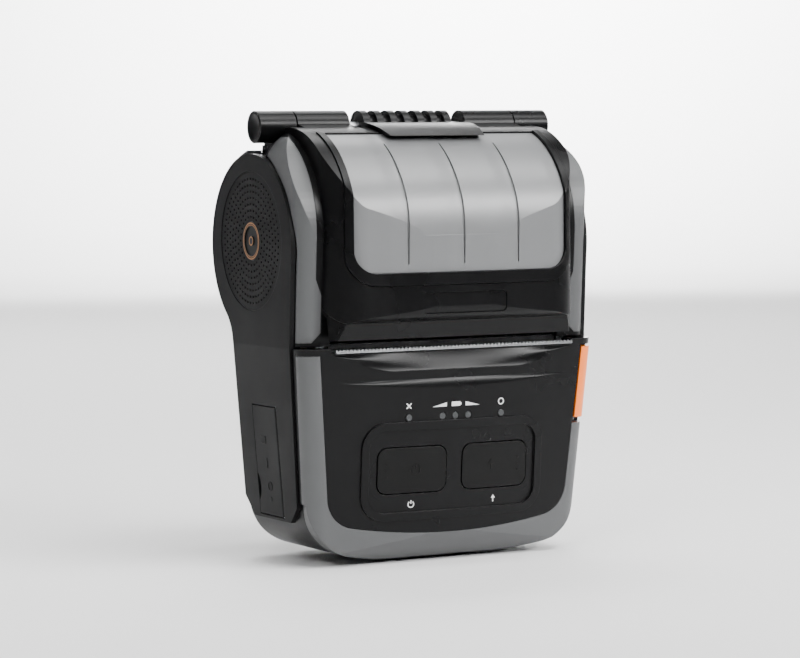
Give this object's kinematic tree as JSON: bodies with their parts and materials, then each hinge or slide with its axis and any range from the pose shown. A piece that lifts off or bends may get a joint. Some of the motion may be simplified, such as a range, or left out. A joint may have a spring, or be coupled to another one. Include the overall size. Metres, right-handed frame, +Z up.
{
  "type": "portable receipt printer",
  "caption": "Upright portable thermal receipt printer with a hinged roll cover, platen drive, tear bar, side port flap, release latch and slide-out battery.",
  "frame": {"origin": "centre of the flat that the printer stands on, at its lower end", "axes": "+Z up along the body, the front panel faces -Y, the release button is on the +X side"},
  "size_m": [0.1044, 0.0752, 0.1392],
  "materials": {
    "black_abs": "satin black moulded case plastic",
    "charcoal_abs": "fine textured charcoal plastic",
    "gray_bumper": "gray impact plastic",
    "window_gray": "light gray satin plastic",
    "button_black": "soft matte black",
    "orange": "orange moulded plastic",
    "copper_print": "copper coloured inlay",
    "plate_black": "gloss black plate",
    "steel": "bright steel",
    "spring_steel": "spring wire",
    "zinc_frame": "zinc plated sheet",
    "acetal": "natural acetal",
    "brass": "turned brass",
    "rubber": "ground rubber",
    "board": "solder-masked circuit board",
    "ceramic": "glazed head on an aluminium plate",
    "light_pipe": "clear gray light pipe",
    "motor_can": "plated motor can",
    "socket_black": "black socket body",
    "contact_gold": "plated contacts",
    "dome_steel": "snap domes"
  },
  "bodies": {
    "base": {"main_housing": "black_abs", "front_panel": "black_abs", "lower_bumper": "gray_bumper", "rear_bumpers": "gray_bumper", "left_side_cap": "charcoal_abs", "right_side_cap": "charcoal_abs", "sound_grille": "charcoal_abs", "side_badge": "copper_print", "hinge_knuckles": "black_abs", "hinge_barrel": "black_abs", "hinge_pin": "steel", "idler_stud": "steel", "stepper_motor": "motor_can", "mechanism_frame": "zinc_frame", "tear_bar": "steel", "head_springs": "spring_steel", "paper_sensor": "socket_black", "button_domes": "dome_steel", "control_board": "board", "status_lights": "light_pipe", "main_board": "board", "board_screws": "steel", "usb_socket": "steel", "power_socket": "socket_black", "port_hinge_pin": "steel", "battery_contacts": "contact_gold", "battery_latch_spring": "spring_steel", "clip_pin": "steel", "clip_ears": "black_abs", "housing_screws": "steel"},
    "cover": {"cover_shell": "black_abs", "cover_bumpers": "gray_bumper", "window_frame": "black_abs", "cover_window": "window_gray", "name_plate": "plate_black", "platen_bearings": "acetal"},
    "platen": {"platen_shaft": "steel", "platen_roller": "rubber", "platen_gear": "acetal"},
    "idler": {"idler_gear": "acetal"},
    "pinion": {"motor_pinion": "brass", "motor_shaft": "steel"},
    "head": {"print_head": "ceramic"},
    "latch_button": {"latch_button": "orange"},
    "latch_bar": {"latch_bar": "zinc_frame"},
    "power_button": {"power_button": "button_black"},
    "feed_button": {"feed_button": "button_black"},
    "port_cover": {"port_cover": "charcoal_abs"},
    "battery": {"battery_pack": "charcoal_abs"},
    "battery_latch": {"battery_latch": "black_abs"},
    "belt_clip": {"belt_clip": "black_abs"}
  },
  "joints": [
    {"name": "cover_hinge", "type": "hinge", "parent": "base", "child": "cover", "pos_m": [0, 0.0095, 0.1342], "axis": [-1, 0, 0], "range_deg": [0, 95]},
    {"name": "platen_spin", "type": "hinge", "parent": "cover", "child": "platen", "pos_m": [0, -0.0115, 0.0736], "axis": [1, 0, 0], "continuous": true},
    {"name": "idler_spin", "type": "hinge", "parent": "base", "child": "idler", "pos_m": [0, -0.00451, 0.06324], "axis": [1, 0, 0], "continuous": true},
    {"name": "pinion_spin", "type": "hinge", "parent": "base", "child": "pinion", "pos_m": [0, -0.00241, 0.05244], "axis": [1, 0, 0], "continuous": true},
    {"name": "head_press", "type": "slide", "parent": "base", "child": "head", "axis": [0, 0, -1], "range_m": [0, 0.0004], "stiffness_N_per_m": 3000},
    {"name": "latch_slide", "type": "slide", "parent": "base", "child": "latch_button", "axis": [-0.075, 0.0869, -0.9934], "range_m": [0, 0.0015], "stiffness_N_per_m": 300},
    {"name": "latch_drop", "type": "slide", "parent": "base", "child": "latch_bar", "axis": [0, 0, -1], "range_m": [0, 0.0015]},
    {"name": "power_press", "type": "slide", "parent": "base", "child": "power_button", "axis": [0, 1, 0], "range_m": [0, 0.0008], "stiffness_N_per_m": 300},
    {"name": "feed_press", "type": "slide", "parent": "base", "child": "feed_button", "axis": [0, 1, 0], "range_m": [0, 0.0008], "stiffness_N_per_m": 300},
    {"name": "port_hinge", "type": "hinge", "parent": "base", "child": "port_cover", "pos_m": [-0.04851, -0.0009, 0.03126], "axis": [-0.075, 0, 0.9972], "range_deg": [0, 100]},
    {"name": "battery_slide", "type": "slide", "parent": "base", "child": "battery", "axis": [0, 1, 0], "range_m": [0, 0.03]},
    {"name": "battery_release", "type": "slide", "parent": "base", "child": "battery_latch", "axis": [0, 0, 1], "range_m": [0, 0.0025], "stiffness_N_per_m": 250, "deforming": ["battery_latch_spring"]},
    {"name": "clip_swing", "type": "hinge", "parent": "base", "child": "belt_clip", "pos_m": [0, 0.0414, 0.1036], "axis": [1, 0, 0], "range_deg": [0, 15], "stiffness_Nm_per_rad": 0.05}
  ],
  "couplings": [
    {"joint": "idler_spin", "follows": "platen_spin", "ratio": -0.5625},
    {"joint": "pinion_spin", "follows": "platen_spin", "ratio": 1.5},
    {"joint": "latch_drop", "follows": "latch_slide", "ratio": 1}
  ]
}
